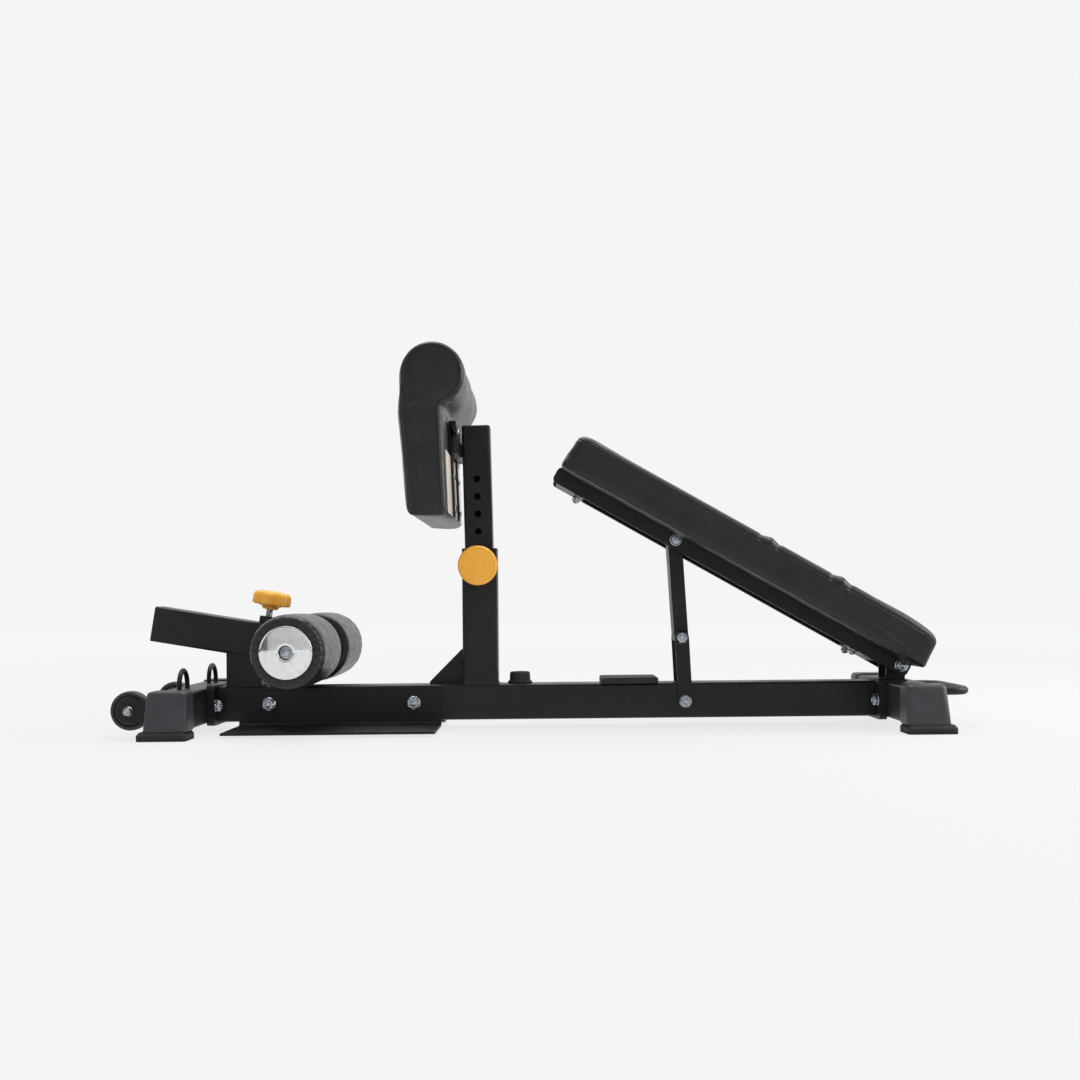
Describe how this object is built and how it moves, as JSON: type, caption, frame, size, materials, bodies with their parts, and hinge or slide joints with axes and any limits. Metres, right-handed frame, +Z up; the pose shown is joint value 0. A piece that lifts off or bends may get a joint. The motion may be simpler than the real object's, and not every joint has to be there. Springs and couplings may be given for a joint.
{
  "type": "adjustable weight bench",
  "caption": "Low squat and sit-up bench: spine beam on two crossbars, sliding ankle rollers, height-adjustable calf pad and an inclined padded bench on a folding prop",
  "frame": {"origin": "on the floor, midway along the footprint's length and width", "axes": "+X from the transport wheels to the bench hinge, +Y across the frame to the side without the pull pin, +Z up"},
  "size_m": [1.4192, 0.452, 0.6342],
  "materials": {
    "powder": "black powder coat, fine texture",
    "slate": "dark slate moulded plastic",
    "rubber": "black rubber, matt",
    "wheel": "black moulded wheel",
    "zinc": "bright zinc plate",
    "black_plastic": "black moulded plastic",
    "yellow": "amber yellow moulded plastic",
    "chrome": "mirror chrome",
    "vinyl": "black grained leatherette",
    "board": "plywood with a pale grey backing"
  },
  "bodies": {
    "frame": {"main_beam": "powder", "front_crossbar": "powder", "rear_crossbar": "powder", "foot_cap_front_near": "slate", "foot_cap_front_far": "slate", "foot_cap_rear_near": "slate", "foot_cap_rear_far": "slate", "foot_sole_front_near": "rubber", "foot_sole_front_far": "rubber", "foot_sole_rear_near": "rubber", "foot_sole_rear_far": "rubber", "wheel_fork_near": "powder", "wheel_fork_far": "powder", "wheel_bolt_near": "zinc", "wheel_bolt_far": "zinc", "band_loop_near": "powder", "band_loop_far": "powder", "rear_handle": "powder", "foot_plate_near": "powder", "foot_plate_far": "powder", "foot_plate_bolt_front": "zinc", "foot_plate_bolt_rear": "zinc", "prop_foot_bolt": "zinc", "bench_bumper": "rubber", "rest_pad": "rubber", "arm_sleeve": "powder", "arm_sleeve_cap": "black_plastic", "upright_tube": "powder", "post_bush": "black_plastic", "pin_barrel": "zinc", "pin_spring": "zinc", "hinge_bracket": "powder"},
    "wheel_near": {"transport_wheel_near": "wheel"},
    "wheel_far": {"transport_wheel_far": "wheel"},
    "stud": {"clamp_stud": "zinc"},
    "clamp": {"clamp_knob": "yellow"},
    "ankle_arm": {"roller_arm": "powder", "roller_arm_plug": "black_plastic", "roller_axle": "zinc", "axle_end_bolt_near": "zinc", "axle_end_bolt_far": "zinc"},
    "roller_near": {"ankle_roller_near": "vinyl", "roller_end_cap_near": "chrome"},
    "roller_far": {"ankle_roller_far": "vinyl", "roller_end_cap_far": "chrome"},
    "pin": {"pull_pin": "zinc", "pull_knob": "yellow"},
    "calf_rest": {"calf_post": "powder", "calf_post_plug": "black_plastic", "calf_bracket": "powder", "calf_board": "board", "calf_pad": "vinyl"},
    "bench": {"bench_frame": "powder", "bench_board": "board", "bench_pad": "vinyl", "bench_hinge_bolt": "zinc", "prop_top_bolt": "zinc"},
    "prop_upper": {"prop_upper_link": "powder"},
    "prop_lower": {"prop_lower_bar_near": "powder", "prop_lower_bar_far": "powder"}
  },
  "joints": [
    {"name": "bench_tilt", "type": "hinge", "parent": "frame", "child": "bench", "pos_m": [0.604, 0, 0.1015], "axis": [0, -1, 0], "range_deg": [0, 28.8]},
    {"name": "prop_upper_turn", "type": "hinge", "parent": "bench", "child": "prop_upper", "pos_m": [0.22293, 0, 0.31886], "axis": [0, -1, 0], "range_deg": [0, 54.5]},
    {"name": "prop_lower_turn", "type": "hinge", "parent": "frame", "child": "prop_lower", "pos_m": [0.2379, 0, 0.0439], "axis": [0, -1, 0], "range_deg": [-62.9, 0]},
    {"name": "calf_post_height", "type": "slide", "parent": "frame", "child": "calf_rest", "axis": [-0.0175, 0, 0.9998], "range_m": [-0.12, 0]},
    {"name": "pull_pin_slide", "type": "slide", "parent": "frame", "child": "pin", "axis": [0, 1, 0], "range_m": [0, 0.008], "stiffness_N_per_m": 400, "springref_m": 0.016, "deforming": ["pin_spring"]},
    {"name": "ankle_arm_slide", "type": "slide", "parent": "frame", "child": "ankle_arm", "axis": [0.986, 0, -0.1668], "range_m": [-0.02, 0.12]},
    {"name": "clamp_stud_slide", "type": "slide", "parent": "frame", "child": "stud", "axis": [0.1668, 0, 0.986], "range_m": [0, 0.0035]},
    {"name": "clamp_knob_turn", "type": "hinge", "parent": "stud", "child": "clamp", "pos_m": [-0.47616, 0, 0.21197], "axis": [0.1668, 0, 0.986], "range_deg": [0, 720]},
    {"name": "roller_near_spin", "type": "hinge", "parent": "ankle_arm", "child": "roller_near", "pos_m": [-0.4063, 0, 0.1393], "axis": [0, 1, 0], "continuous": true},
    {"name": "roller_far_spin", "type": "hinge", "parent": "ankle_arm", "child": "roller_far", "pos_m": [-0.4063, 0, 0.1393], "axis": [0, 1, 0], "continuous": true},
    {"name": "wheel_near_spin", "type": "hinge", "parent": "frame", "child": "wheel_near", "pos_m": [-0.6776, -0.13, 0.044], "axis": [0, 1, 0], "continuous": true},
    {"name": "wheel_far_spin", "type": "hinge", "parent": "frame", "child": "wheel_far", "pos_m": [-0.6776, 0.13, 0.044], "axis": [0, 1, 0], "continuous": true}
  ],
  "couplings": [
    {"joint": "prop_upper_turn", "follows": "bench_tilt", "ratio": 1.8864},
    {"joint": "prop_lower_turn", "follows": "bench_tilt", "ratio": -2.1787},
    {"joint": "clamp_knob_turn", "follows": "clamp_stud_slide", "rad_per_m": 3590.4}
  ]
}
